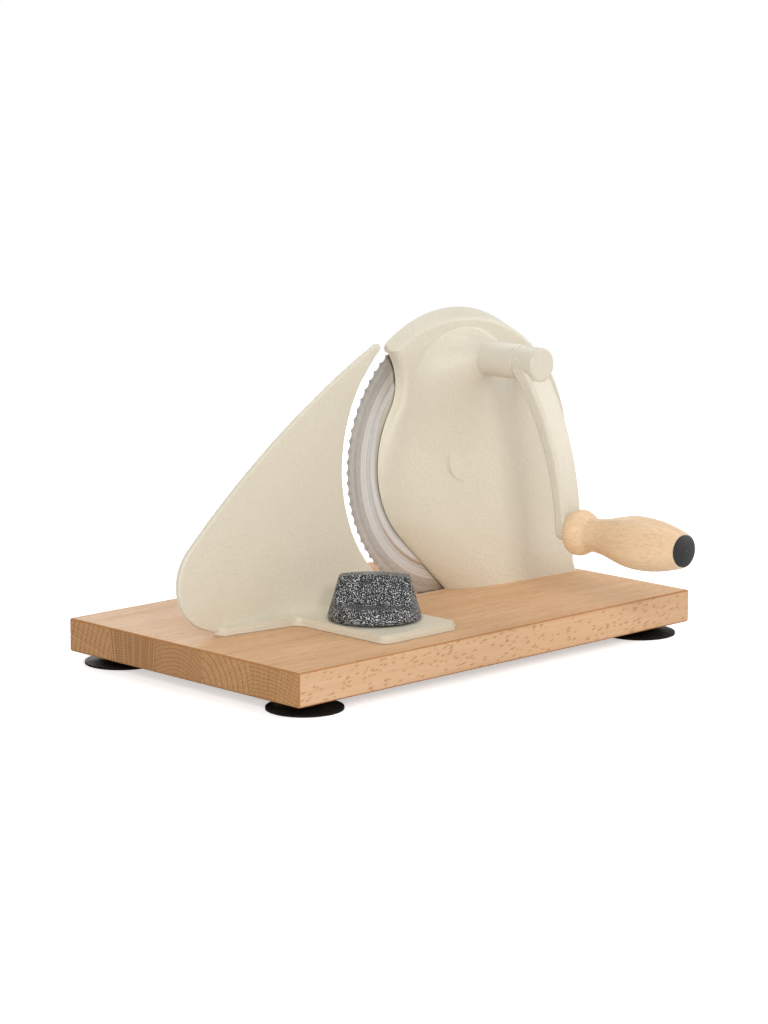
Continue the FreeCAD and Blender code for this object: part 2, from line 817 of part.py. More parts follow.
def make_housing():
    """Cast housing, open at the back where the blade closes it."""
    front = boss_front_y - wall
    behind = rim_y + wall
    body = dome_solid(front, rim_y).common(behind_face())
    ridge = edges_where(body, lambda p, edge: on_face(p) and p.z > 0.1
                        and p.x > blade_axis_x - wall)
    body = body.makeFillet(ridge_round, ridge)
    side = rolled_edge_side()
    body = body.cut(nose_cut()).common(side)

    boss = rod(crank_axis, boss_radius, boss_front_y, mound_top_y)
    rim = edges_where(boss, lambda p, edge: abs(p.y - boss_front_y) < 0.01)
    boss = boss.makeFillet(boss_round, rim)
    pad = rod(blade_axis, axle_pad_radius, front, face_y + wall)
    body = body.fuse([boss_mound(), boss, pad.common(behind_face(-axle_pad_height))])

    side.translate(Y_AXIS * wall)
    cavity = dome_solid(front, behind, wall).common(crescent_area(front, behind, edge_land))
    cavity = cavity.common(behind_face(wall)).common(side)
    kept = [
        rod(blade_axis, axle_pad_radius, face_y, gear_front_y - seat_gap),
        rod(blade_axis, blade_boss_radius, face_y, blade_boss_end_y),
        rod(crank_axis, inner_boss_radius, face_y, bush_back_y),
    ]
    kept += [post(axis, screw_post_radius, 0, screw_post_height) for axis in housing_screw_axes()]
    recess = rod(blade_axis, blade_radius + recess_gap, lip_back_y, behind)
    body = body.cut([cavity, recess]).fuse(kept)

    holes = [
        rod(blade_axis, blade_screw_radius, blade_boss_end_y - blade_screw_grip, behind),
        rod(crank_axis, shaft_bush_outer, front, behind),
    ]
    for axis in housing_screw_axes():
        holes.append(post(axis, housing_screw_radius, -wall, housing_screw_grip))
    return body.cut(holes)


def make_housing_screws():
    """Screws up through the board into the housing's posts."""
    seat = housing_screw_recess - board_height - screw_washer_thickness
    screws = []
    for axis in housing_screw_axes():
        head = post(axis, housing_screw_head_radius, seat - housing_screw_head_height, seat)
        shank = post(axis, housing_screw_radius, seat, housing_screw_grip)
        screws.append(head.fuse(shank).removeSplitter())
    return Part.makeCompound(screws)


def make_screw_washers():
    """Washers under the housing screws' heads."""
    top = housing_screw_recess - board_height
    washers = []
    for axis in housing_screw_axes():
        ring = post(axis, screw_washer_radius, top - screw_washer_thickness, top)
        hole = post(axis, housing_screw_radius + bolt_gap, top - screw_washer_thickness, top)
        washers.append(ring.cut(hole))
    return Part.makeCompound(washers)


# ------------------------------------------------------------------ crank


def make_shaft_bush():
    """Bronze bush through the housing's boss, for the crank's shaft."""
    sleeve = rod(crank_axis, shaft_bush_outer, boss_front_y, bush_back_y)
    return sleeve.cut(rod(crank_axis, shaft_bush_bore, boss_front_y, bush_back_y))


def make_thrust_washer():
    """Washer between the bush and the pinion."""
    washer = rod(crank_axis, thrust_washer_radius, thrust_washer_y, pinion_front_y)
    return washer.cut(rod(crank_axis, shaft_radius, thrust_washer_y, pinion_front_y))


def make_crank_shaft():
    """Steel shaft from the crank's hub to the pinion."""
    return rod(crank_axis, shaft_radius, hub_front_y + hub_wall, pinion_back_y)


def make_crank_arm():
    """Cast crank: a hub, and an arm that sweeps forward and narrows to the grip's seat."""
    half_foot = arm_foot_width / 2
    half_root = hub_radius - arm_root_inset
    foot_z = grip_z - arm_foot_drop
    back_root = (hub_back_y + arm_root_back, crank_z)
    front_root = (back_root[0] - arm_root_thickness, crank_z)
    back_foot = (arm_foot_back_y, grip_z)
    front_foot = (arm_foot_front_y, grip_z)
    side = outline(
        in_yz(blade_axis_x - hub_radius), back_root,
        (bowed(back_root, back_foot, -arm_back_bow), back_foot), (arm_foot_back_y, foot_z),
        (arm_foot_front_y, foot_z), front_foot,
        (bowed(front_foot, front_root, arm_front_bow), front_root))
    face = outline(
        in_xz(arm_foot_front_y), (blade_axis_x - half_foot, foot_z),
        (blade_axis_x + half_foot, foot_z), (blade_axis_x + half_foot, grip_z),
        (blade_axis_x + half_root, crank_z), (blade_axis_x - half_root, crank_z),
        (blade_axis_x - half_foot, grip_z))
    arm = slab(side, X_AXIS * (2 * hub_radius))
    arm = arm.common(slab(face, Y_AXIS * (back_root[0] - arm_foot_front_y)))
    corners = edges_where(arm, lambda p, edge: abs(p.z - foot_z) < 0.01
                          and abs(abs(p.x - blade_axis_x) - half_foot) < 0.01)
    arm = arm.makeFillet(arm_foot_round, corners)
    rim = edges_where(arm, lambda p, edge: p.z < crank_z - 0.01
                      and abs(edge.tangentAt(edge.FirstParameter).y) < 0.99)
    arm = arm.makeFillet(arm_edge_round, rim)
    arm = arm.common(rod(crank_axis, crank_reach + hub_radius, arm_foot_front_y, hub_back_y))
    hub = rod(crank_axis, hub_radius, hub_front_y, hub_back_y)
    ends = edges_where(hub, lambda p, edge: abs(p.y - hub_front_y) < 0.01)
    hub = hub.makeFillet(hub_round, ends)
    seat = rod(grip_axis, grip_seat_radius, grip_seat_y, arm_foot_front_y + grip_seat_height)
    arm = arm.fuse([hub, seat])
    shaft_bore = rod(crank_axis, shaft_radius, hub_front_y + hub_wall, hub_back_y)
    bolt_bore = rod(grip_axis, grip_bolt_radius, grip_seat_y, grip_seat_y + grip_bolt_grip)
    return arm.cut([shaft_bore, bolt_bore]).removeSplitter()


def grip_curve():
    """Edges of the grip's turned outline from its base to its end, smooth through each station.

    A station is the distance from the base, the radius and the outline's slope in degrees.
    """
    stations = [
        (0, grip_base_radius, grip_base_flare), (grip_collar_at, grip_collar_radius, 0),
        (grip_neck_at, grip_neck_radius, 0), (grip_belly_at, grip_belly_radius, 0),
        (grip_length, grip_end_radius, -grip_end_taper)]
    edges = []
    for start, end in zip(stations, stations[1:]):
        pull = grip_fullness * (end[0] - start[0])
        leave = on_circle(start[:2], pull, start[2])
        arrive = on_circle(end[:2], -pull, end[2])
        curve = Part.BezierCurve()
        curve.setPoles([Vec(blade_axis_x, grip_base_y - along, grip_z + radius)
                        for along, radius in (start[:2], leave, arrive, end[:2])])
        edges.append(curve.toShape())
    return edges


def make_grip():
    """Turned wooden grip, bored for its bolt and recessed for the bolt's head and the cap."""
    base = Vec(blade_axis_x, grip_base_y, grip_z)
    end = Vec(blade_axis_x, grip_end_y, grip_z)
    base_edge = Part.LineSegment(base, base + Z_AXIS * grip_base_radius).toShape()
    end_edge = Part.LineSegment(end + Z_AXIS * grip_end_radius, end).toShape()
    axis_edge = Part.LineSegment(end, base).toShape()
    wire = Part.Wire([base_edge] + grip_curve() + [end_edge, axis_edge])
    body = Part.Face(wire).revolve(base, Y_AXIS, 360)
    bore = rod(grip_axis, grip_bore_radius, grip_end_y, grip_base_y)
    recess = rod(grip_axis, grip_recess_radius, grip_end_y, grip_bolt_seat_y)
    return body.cut([bore, recess])


def make_grip_bolt():
    """Bolt that the grip turns on, screwed into the arm's foot."""
    seat = grip_bolt_seat_y - seat_gap
    head = rod(grip_axis, grip_bolt_head_radius, seat - grip_bolt_head_height, seat)
    shank = rod(grip_axis, grip_bolt_radius, seat, grip_seat_y + grip_bolt_grip)
    return head.fuse(shank).removeSplitter()


def make_grip_washer():
    """Washer between the arm's seat and the grip."""
    front = grip_seat_y - grip_washer_thickness
    washer = rod(grip_axis, grip_washer_radius, front, grip_seat_y)
    return washer.cut(rod(grip_axis, grip_bolt_radius, front, grip_seat_y))


def make_grip_cap():
    """Black plug pressed into the grip's end over the bolt's head, slightly domed."""
    edge = grip_end_y - cap_rim_height
    crown = edge - cap_dome_height
    rise, out = crown_via(cap_radius, cap_dome_height)
    return turned(
        grip_axis, (grip_end_y + cap_plug_length, 0),
        (grip_end_y + cap_plug_length, grip_recess_radius), (grip_end_y, grip_recess_radius),
        (grip_end_y, cap_radius), (edge, cap_radius), ((edge - rise, out), (crown, 0)))


# ------------------------------------------------------------------ stop plate and clamp


def plate_outline(y, base_z):
    """Outline of the upright plate: a swept upper edge, a point, and the blade's crescent."""
    corner = (plate_left_x + plate_corner_radius, sole_z + plate_corner_height)
    crescent = (blade_axis_x + crescent_offset_x, blade_axis_z + crescent_offset_z)
    radius = blade_radius + crescent_clearance
    tip = on_circle(crescent, radius + plate_tip_radius, plate_tip_angle)
    upper_start = on_circle(corner, plate_corner_radius, plate_corner_angle)
    upper_end = on_circle(tip, plate_tip_radius, plate_tip_turn)
    tip_end = on_circle(crescent, radius, plate_tip_angle)
    toe_z = sole_z + plate_toe_height
    low_angle = 180 + math.degrees(math.asin((crescent[1] - toe_z) / radius))
    low = on_circle(crescent, radius, low_angle)
    tip_via = on_circle(tip, plate_tip_radius, (plate_tip_turn + plate_tip_angle - 180) / 2)
    corner_low = on_circle(corner, plate_corner_radius, plate_corner_low_angle)
    corner_via = on_circle(corner, plate_corner_radius,
                           (plate_corner_low_angle + plate_corner_angle) / 2)
    foot_slope = math.tan(math.radians(plate_corner_low_angle + 90))
    foot_x = corner_low[0] + (base_z - corner_low[1]) / foot_slope
    return outline(
        in_xz(y), (foot_x, base_z), corner_low, (corner_via, upper_start),
        (bowed(upper_start, upper_end, plate_bow), upper_end), (tip_via, tip_end),
        (on_circle(crescent, radius, (plate_tip_angle + low_angle) / 2), low),
        (low[0], base_z))


def sole_outline(z, inset=0.0):
    """Outline of the sole: the foot under the knob, with a flange along the plate."""
    root = plate_front_y + plate_thickness / 2
    shoulder = plate_front_y - flange_depth_right + inset
    left = sole_left_x + inset
    right = sole_right_x - inset
    return outline(
        in_xy(z), (flange_left_x - flange_end + inset, root),
        (flange_left_x + inset, plate_front_y - flange_depth_left + inset), (left, shoulder),
        (left, sole_front_y + inset), (right, sole_front_y + inset), (right, shoulder),
        (flange_right_x - inset, plate_front_y - flange_depth_left + inset),
        (flange_right_x + flange_end - inset, root))


def make_stop_plate():
    """Cast stop plate that sets the slice's thickness, with a slotted, ribbed sole."""
    base_z = sole_z - plate_thickness
    plate = slab(plate_outline(plate_front_y, base_z), Y_AXIS * plate_thickness)
    rim = edges_where(plate, lambda p, edge: p.z > base_z + 0.01
                      and abs(edge.tangentAt(edge.FirstParameter).y) < 0.5)
    plate = plate.makeFillet(plate_edge_round, rim)
    spare = Vec(0, plate_front_y - plate_thickness, base_z - plate_thickness)
    plate = plate.cut(Part.makeBox(board_length, board_width, sole_z - spare.z, spare))
    lower = slab(sole_outline(sole_z), Z_AXIS * sole_step_height)
    upper = slab(sole_outline(sole_z, sole_step), Z_AXIS * sole_height)
    layers = []
    for layer, radius in ((lower, sole_corner_radius), (upper, sole_corner_radius - sole_step)):
        corners = edges_where(layer, lambda p, edge: p.y < plate_front_y
                              and abs(edge.tangentAt(edge.FirstParameter).z) > 0.5)
        layers.append(layer.makeFillet(radius, corners))
    body = plate.fuse(layers)

    half = clamp_bolt_radius + clamp_slot_gap
    slot = post(clamp_axis, half, -rib_depth, 2 * sole_height)
    slot_end = clamp_axis + Y_AXIS * plate_travel
    slot = slot.fuse(post(slot_end, half, -rib_depth, 2 * sole_height))
    corner = Vec(knob_x - half, knob_y, -rib_depth)
    slot = slot.fuse(Part.makeBox(2 * half, plate_travel, rib_depth + 2 * sole_height, corner))
    ribs = []
    for side in (-1, 1):
        corner = Vec(knob_x + side * rib_spacing / 2 - rib_width / 2, rib_back_y - rib_length,
                     -rib_depth)
        ribs.append(Part.makeBox(rib_width, rib_length, rib_depth + 2 * sole_z, corner))
    return body.cut(slot).fuse(ribs).removeSplitter()


def make_clamp_bolt():
    """Bolt that stands up through the board and the stop plate's slot."""
    seat = clamp_head_recess - board_height
    head = post(clamp_axis, clamp_head_radius, seat - clamp_head_height, seat)
    shank = post(clamp_axis, clamp_bolt_radius, seat, clamp_bolt_stand)
    return head.fuse(shank).removeSplitter()


def make_clamp_washer():
    """Washer on the clamp bolt, between the stop plate's sole and the knob."""
    top = clamp_washer_z + clamp_washer_thickness
    washer = post(clamp_axis, clamp_washer_radius, clamp_washer_z, top)
    return washer.cut(post(clamp_axis, clamp_bolt_radius, clamp_washer_z, top))


def make_knob():
    """Round tapered knob, scooped on both sides to leave a bar for the fingers."""
    top = knob_z + knob_height
    side_top = top - knob_crown
    rise, out = crown_via(knob_top_radius, knob_crown)
    body = turned_up(
        clamp_axis, (0, knob_z), (knob_base_radius, knob_z),
        (knob_base_radius, knob_z + knob_rim_height), (knob_top_radius, side_top),
        ((out, side_top + rise), (0, top)))
    ledge = knob_z + knob_base_height
    foot = knob_bar_foot_width / 2
    crest = knob_bar_top_width / 2
    wide = 2 * knob_base_radius
    scoop_foot = (foot, ledge)
    scoop_top = (crest, top + knob_crown)
    scoops = []
    for side in (-1, 1):
        wire = outline(
            lambda point: Vec(knob_x - wide, knob_y + side * point[0], point[1]), scoop_foot,
            (bowed(scoop_foot, scoop_top, knob_scoop), scoop_top), (wide, scoop_top[1]),
            (wide, ledge))
        scoops.append(slab(wire, X_AXIS * (2 * wide)))
    body = body.cut(scoops)
    body = body.makeFillet(knob_edge_round, edges_where(body, lambda p, edge: p.z > ledge - 1))
    body.rotate(clamp_axis, Z_AXIS, knob_bar_angle)
    socket = post(clamp_axis, insert_outer_radius, knob_z, knob_z + insert_length)
    relief = post(clamp_axis, insert_bore_radius, knob_z, clamp_bolt_stand + knob_bore_spare)
    return body.cut([socket, relief])


def make_knob_insert():
    """Brass insert moulded into the knob, threaded on the clamp bolt."""
    top = knob_z + insert_length
    sleeve = post(clamp_axis, insert_outer_radius, knob_z, top)
    return sleeve.cut(post(clamp_axis, insert_bore_radius, knob_z, top))


# ------------------------------------------------------------------ write the pieces

os.makedirs("parts", exist_ok=True)

save("base_board", make_board())
for name, axis in foot_centres().items():
    save(name, make_foot(axis))
save("foot_screws", Part.makeCompound([make_foot_screw(a) for a in foot_centres().values()]))

save("blade_housing", make_housing())
save("housing_screws", make_housing_screws())
save("screw_washers", make_screw_washers())

save("serrated_blade", make_blade())
save("blade_gear", make_blade_gear())
save("blade_bush", make_blade_bush())
save("blade_rivets", make_rivets())
save("blade_washer", make_blade_washer())
save("blade_screw", make_blade_screw())

save("shaft_bush", make_shaft_bush())
save("crank_shaft", make_crank_shaft())
save("crank_pinion", make_pinion())
save("thrust_washer", make_thrust_washer())
save("crank_arm", make_crank_arm())
save("grip_bolt", make_grip_bolt())
save("grip_washer", make_grip_washer())
save("crank_grip", make_grip())
save("grip_cap", make_grip_cap())

save("stop_plate", make_stop_plate())
save("clamp_bolt", make_clamp_bolt())
save("clamp_washer", make_clamp_washer())
save("thickness_knob", make_knob())
save("knob_insert", make_knob_insert())
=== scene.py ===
import math

import bpy
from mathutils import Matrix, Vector


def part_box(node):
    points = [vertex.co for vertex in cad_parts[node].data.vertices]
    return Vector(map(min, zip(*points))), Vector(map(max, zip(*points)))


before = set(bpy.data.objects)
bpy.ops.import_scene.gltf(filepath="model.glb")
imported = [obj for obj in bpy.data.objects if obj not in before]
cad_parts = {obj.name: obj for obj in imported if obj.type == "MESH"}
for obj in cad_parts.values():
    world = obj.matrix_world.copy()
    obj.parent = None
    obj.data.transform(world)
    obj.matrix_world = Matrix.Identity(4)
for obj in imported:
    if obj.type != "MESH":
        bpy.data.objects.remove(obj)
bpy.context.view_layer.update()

# ------------------------------------------------------------------ places on the object


def middle(node):
    """Centre of a CAD node's box."""
    low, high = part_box(node)
    return (low + high) / 2


board_low, board_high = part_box("base_board")
blade_low, blade_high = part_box("serrated_blade")
blade_axis = middle("blade_bush")
crank_axis = middle("shaft_bush")
blade_radius = (blade_high.x - blade_low.x) / 2
tooth_count = 84

# ------------------------------------------------------------------ node helpers

# A Mix node's sockets for colours, by number, as their names repeat for each type of value.
mix_factor, mix_first, mix_second, mix_result = 0, 6, 7, 2


def put(tree, socket, value):
    """Link a socket, or set a plain value on it. A colour gets its alpha here."""
    if isinstance(value, bpy.types.NodeSocket):
        tree.links.new(socket, value)
    elif hasattr(socket.default_value, "__len__"):
        wanted = len(socket.default_value)
        socket.default_value = (tuple(value) + (1.0,))[:wanted]
    else:
        socket.default_value = value


def fill(tree, node, inputs):
    """Link or set a node's inputs, by name or number, and return its outputs."""
    for socket, value in inputs.items():
        put(tree, node.inputs[socket], value)
    return node.outputs


class Paint:
    """One material's node tree, built from short calls that return sockets."""

    def __init__(self, name, metallic=0.0):
        self.material = bpy.data.materials.new(name)
        self.material.use_nodes = True
        self.tree = self.material.node_tree
        self.shader = self.tree.nodes["Principled BSDF"]
        self.shade("Metallic", metallic)
        coordinates = self.tree.nodes.new("ShaderNodeTexCoord").outputs
        self.place = coordinates["Object"]
        self.facing = coordinates["Normal"]
        self.x, self.y, self.z = self.parts(self.place)

    def fill(self, node, inputs):
        return fill(self.tree, node, inputs)

    def math(self, operation, *values):
        node = self.tree.nodes.new("ShaderNodeMath")
        node.operation = operation
        return self.fill(node, dict(enumerate(values)))[0]

    def plus(self, first, second):
        return self.math("ADD", first, second)

    def minus(self, first, second):
        return self.math("SUBTRACT", first, second)

    def times(self, first, second):
        return self.math("MULTIPLY", first, second)

    def over(self, first, second):
        return self.math("DIVIDE", first, second)

    def length(self, first, second):
        """Length of the line whose two parts are given."""
        squares = [self.times(part, part) for part in (first, second)]
        return self.math("SQRT", self.plus(*squares))

    def offsets(self, centre):
        """How far a place is from the line along Y through a point, in X and in Z."""
        return self.minus(self.x, centre.x), self.minus(self.z, centre.z)

    def vector(self, x, y, z):
        return self.fill(self.tree.nodes.new("ShaderNodeCombineXYZ"), {0: x, 1: y, 2: z})[0]

    def parts(self, vector):
        """The three parts of a vector or a colour."""
        return self.fill(self.tree.nodes.new("ShaderNodeSeparateXYZ"), {0: vector})

    def noise(self, vector, scale, detail, roughness=0.5, warp=0.0):
        return self.fill(self.tree.nodes.new("ShaderNodeTexNoise"), {
            "Vector": vector, "Scale": scale, "Detail": detail,
            "Roughness": roughness, "Distortion": warp})["Fac"]

    def grain(self, x, y, z, detail, roughness=0.5):
        """Noise with its own scale in each direction."""
        node = self.tree.nodes.new("ShaderNodeVectorMath")
        node.operation = "MULTIPLY"
        stretched = self.fill(node, {0: self.place, 1: (x, y, z)})[0]
        return self.noise(stretched, 1.0, detail, roughness)

    def line_noise(self, value, scale, detail):
        """Noise along one number only."""
        node = self.tree.nodes.new("ShaderNodeTexNoise")
        node.noise_dimensions = "1D"
        return self.fill(node, {"W": value, "Scale": scale, "Detail": detail})["Fac"]

    def cells(self, vector, scale, randomness):
        """Distance to the nearest cell's centre, and the cell's own random colour."""
        outputs = self.fill(self.tree.nodes.new("ShaderNodeTexVoronoi"), {
            "Vector": vector, "Scale": scale, "Randomness": randomness})
        return outputs["Distance"], outputs["Color"]

    def ramp(self, value, *stops, steps=False):
        """Colour ramp. A stop is (position, grey or colour)."""
        node = self.tree.nodes.new("ShaderNodeValToRGB")
        node.color_ramp.interpolation = "CONSTANT" if steps else "LINEAR"
        elements = node.color_ramp.elements
        while len(elements) < len(stops):
            elements.new(0.5)    # moved to its own position below
        for element, (position, _) in zip(elements, stops):
            element.position = position
        for element, (_, colour) in zip(elements, stops):
            channels = colour if hasattr(colour, "__len__") else (colour,) * 3
            element.color = tuple(channels) + (1.0,)
        return self.fill(node, {"Fac": value})["Color"]

    def fade(self, value, start, end, most=1.0):
        """From 0 where the value is start to most where it is end."""
        return self.ramp(value, (start, 0.0), (end, most))

    def mix(self, factor, first, second, blend="MIX"):
        node = self.tree.nodes.new("ShaderNodeMix")
        node.data_type = "RGBA"
        node.blend_type = blend
        inputs = {mix_factor: factor, mix_first: first, mix_second: second}
        return self.fill(node, inputs)[mix_result]

    def tinted(self, colour, tint):
        return self.mix(1.0, colour, tint, "MULTIPLY")

    def shade(self, name, value):
        """Link or set one of the shader's own sockets."""
        put(self.tree, self.shader.inputs[name], value)

    def colour(self, value):
        self.shade("Base Color", value)

    def rough(self, value):
        self.shade("Roughness", value)

    def gloss(self, level):
        self.shade("Specular IOR Level", level)

    def bump(self, height, depth, strength=1.0):
        """Raise the surface by height times depth, in metres."""
        outputs = self.fill(self.tree.nodes.new("ShaderNodeBump"), {
            "Strength": strength, "Distance": depth, "Height": height})
        self.shade("Normal", outputs["Normal"])


# ------------------------------------------------------------------ materials

fine_bump = 0.00001    # metres, for haze, mottling and lathe rings


def cream_enamel():
    """Ivory enamel sprayed on a fine pebbled casting."""
    p = Paint("cream_enamel")
    ivory, pale_ivory = (0.700, 0.642, 0.516), (0.722, 0.666, 0.544)
    hollow_tint = (0.965, 0.96, 0.95)
    pebbles = p.noise(p.place, scale=620, detail=2.5, roughness=0.55, warp=0.3)
    grit = p.noise(p.place, scale=2100, detail=1)
    drift = p.noise(p.place, scale=11, detail=3)
    base = p.mix(p.fade(drift, 0.3, 0.7), ivory, pale_ivory)
    p.colour(p.mix(p.fade(pebbles, 0.35, 0.65), p.tinted(base, hollow_tint), base))
    texture = p.plus(p.times(pebbles, 0.7), p.times(grit, 0.3))
    p.rough(p.ramp(texture, (0.35, 0.28), (0.65, 0.38)))
    p.gloss(0.38)
    p.bump(p.plus(pebbles, p.times(grit, 0.2)), depth=0.00042)
    return p.material


def blade_steel():
    """Stainless blade: ground in rings, with a hollow ground flat behind every tooth."""
    p = Paint("blade_steel", metallic=1.0)
    dx, dz = p.offsets(blade_axis)
    radius, angle = p.length(dx, dz), p.math("ARCTAN2", dz, dx)
    share = p.over(radius, blade_radius)
    fine = p.line_noise(radius, scale=2600, detail=3)
    broad = p.line_noise(radius, scale=420, detail=2)
    rings = p.plus(p.times(fine, 0.4), p.times(broad, 0.6))
    along_arc = p.vector(p.times(angle, 0.02), radius, 0.0)
    streak = p.noise(along_arc, scale=900, detail=3, roughness=0.6)

    # From the middle outwards: a painted highlight line, a painted shade line and a painted
    # highlight line where the rings step, then the dull rim.
    face, pale_face = (0.64, 0.625, 0.61), (0.70, 0.685, 0.67)
    inner_highlight_line, shade_line = (0.86, 0.85, 0.84), (0.34, 0.33, 0.32)
    outer_face, outer_highlight_line = (0.64, 0.62, 0.60), (0.84, 0.83, 0.81)
    rim, rim_end = (0.51, 0.49, 0.465), (0.53, 0.505, 0.475)
    zones = p.ramp(share, (0.770, pale_face), (0.775, inner_highlight_line), (0.782, face),
                   (0.810, face), (0.8145, shade_line), (0.819, pale_face),
                   (0.860, outer_face), (0.866, outer_highlight_line), (0.873, rim), (1.0, rim_end))
    worn_tint = (0.84, 0.83, 0.82)
    base = p.mix(p.fade(rings, 0.35, 0.65), p.tinted(zones, worn_tint), zones)

    # The flats are painted darker as their shade, and their inner edge waves with the teeth.
    flat_shade_steel, streak_steel = (0.40, 0.39, 0.375), (0.76, 0.75, 0.73)
    lobe = p.math("COSINE", p.times(angle, tooth_count))
    reach = p.plus(share, p.times(lobe, 0.012))
    base = p.mix(p.fade(reach, 0.965, 0.985), base, flat_shade_steel)
    p.colour(p.mix(p.fade(streak, 0.45, 0.75, most=0.35), base, streak_steel))
    polish = p.plus(p.times(rings, 0.6), p.times(streak, 0.4))
    p.rough(p.ramp(polish, (0.35, 0.34), (0.7, 0.48)))

    # Brushed round the axis, so highlights spread across the rings.
    tangent = p.tree.nodes.new("ShaderNodeTangent")
    tangent.direction_type = "RADIAL"
    tangent.axis = "Y"
    p.shade("Tangent", tangent.outputs[0])
    p.shade("Anisotropic", 0.5)
    p.bump(rings, fine_bump, strength=0.6)
    return p.material


def turned_metal(name, low, high, centre, roughness):
    """Metal faced on a lathe, with rings about its own axis along Y."""
    p = Paint(name, metallic=1.0)
    radius = p.length(*p.offsets(centre))
    rings = p.line_noise(p.plus(radius, p.times(p.y, 1.3)), scale=3200, detail=3)
    stain = p.noise(p.place, scale=60, detail=3, roughness=0.6)
    stained = tuple(0.6 * channel for channel in low)
    base = p.mix(p.fade(rings, 0.3, 0.7), low, high)
    p.colour(p.mix(p.fade(stain, 0.5, 0.8, most=0.35), base, stained))
    p.rough(p.ramp(stain, (0.3, roughness - 0.06), (0.7, roughness + 0.1)))
    p.bump(rings, fine_bump)
    return p.material


def plated_steel():
    """Zinc plated screws, bolts and washers: slightly mottled."""
    p = Paint("fastener_steel", metallic=1.0)
    zinc, pale_zinc = (0.47, 0.48, 0.49), (0.64, 0.65, 0.66)
    mottle = p.noise(p.place, scale=420, detail=3, roughness=0.6)
    blotch = p.noise(p.place, scale=60, detail=2)
    p.colour(p.mix(p.fade(mottle, 0.35, 0.65), zinc, pale_zinc))
    p.rough(p.ramp(blotch, (0.3, 0.28), (0.7, 0.44)))
    p.bump(mottle, fine_bump)
    return p.material


def cup_rubber():
    """Black rubber with a faint bloom, a fine grain and moulded rings."""
    p = Paint("cup_rubber")
    black, bloomed = (0.005, 0.004, 0.003), (0.013, 0.010, 0.008)
    bloom = p.noise(p.place, scale=120, detail=4, roughness=0.6)
    grain = p.noise(p.place, scale=2600, detail=2)
    mould_rings = p.line_noise(p.z, scale=1400, detail=1)
    p.colour(p.mix(p.fade(bloom, 0.35, 0.8), black, bloomed))
    p.rough(p.ramp(bloom, (0.3, 0.50), (0.7, 0.66)))
    p.gloss(0.12)
    p.bump(p.plus(grain, mould_rings), depth=0.00003)
    return p.material


def speckled_plastic():
    """Near-black knob plastic with an even, fine pale speckle that stands proud."""
    p = Paint("knob_plastic")
    deep, soft_black = (0.004, 0.005, 0.006), (0.014, 0.015, 0.016)
    grey, pale = (0.32, 0.33, 0.33), (0.78, 0.79, 0.78)
    flecks = p.noise(p.place, scale=1650, detail=1, roughness=0.6, warp=0.3)
    patches = p.noise(p.place, scale=130, detail=2)
    chosen = p.plus(flecks, p.times(p.minus(patches, 0.5), 0.10))
    p.colour(p.ramp(chosen, (0.525, deep), (0.570, soft_black), (0.600, grey), (0.655, pale)))
    p.rough(p.ramp(flecks, (0.35, 0.42), (0.7, 0.30)))
    p.gloss(0.22)
    p.bump(flecks, depth=0.00022)
    return p.material


def cap_plastic():
    """Smooth black plastic with fine moulding haze."""
    p = Paint("cap_plastic")
    black, hazed = (0.007, 0.007, 0.008), (0.013, 0.012, 0.014)
    haze = p.noise(p.place, scale=300, detail=3, roughness=0.6)
    grain = p.noise(p.place, scale=3000, detail=2)
    p.colour(p.mix(haze, black, hazed))
    p.rough(p.ramp(haze, (0.3, 0.34), (0.7, 0.46)))
    p.gloss(0.40)
    p.bump(grain, fine_bump)
    return p.material


# Each stave of the board: its start, as a share of the board's width; its heart, which is the
# pith's place across the board and under its top, in pith units, and the ring spacing, in ring
# units; and its end grain's tone, from dark to light. The units keep the heart's numbers
# between 0 and 1, like a ramp's colours.
staves = (
    (0.0, (0.15, 0.45, 0.22), 0.55),
    (0.2, (0.44, 0.1125, 0.46), 0.75),
    (0.403, (0.52, 0.19, 0.24), 0.45),
    (0.605, (0.70, 0.80, 0.17), 0.20),
    (0.806, (0.475, 0.185, 0.42), 0.65),
)
pith_unit = 0.2          # metres
ring_unit = 0.01
ring_wander = 0.006      # how far the rings leave their circles


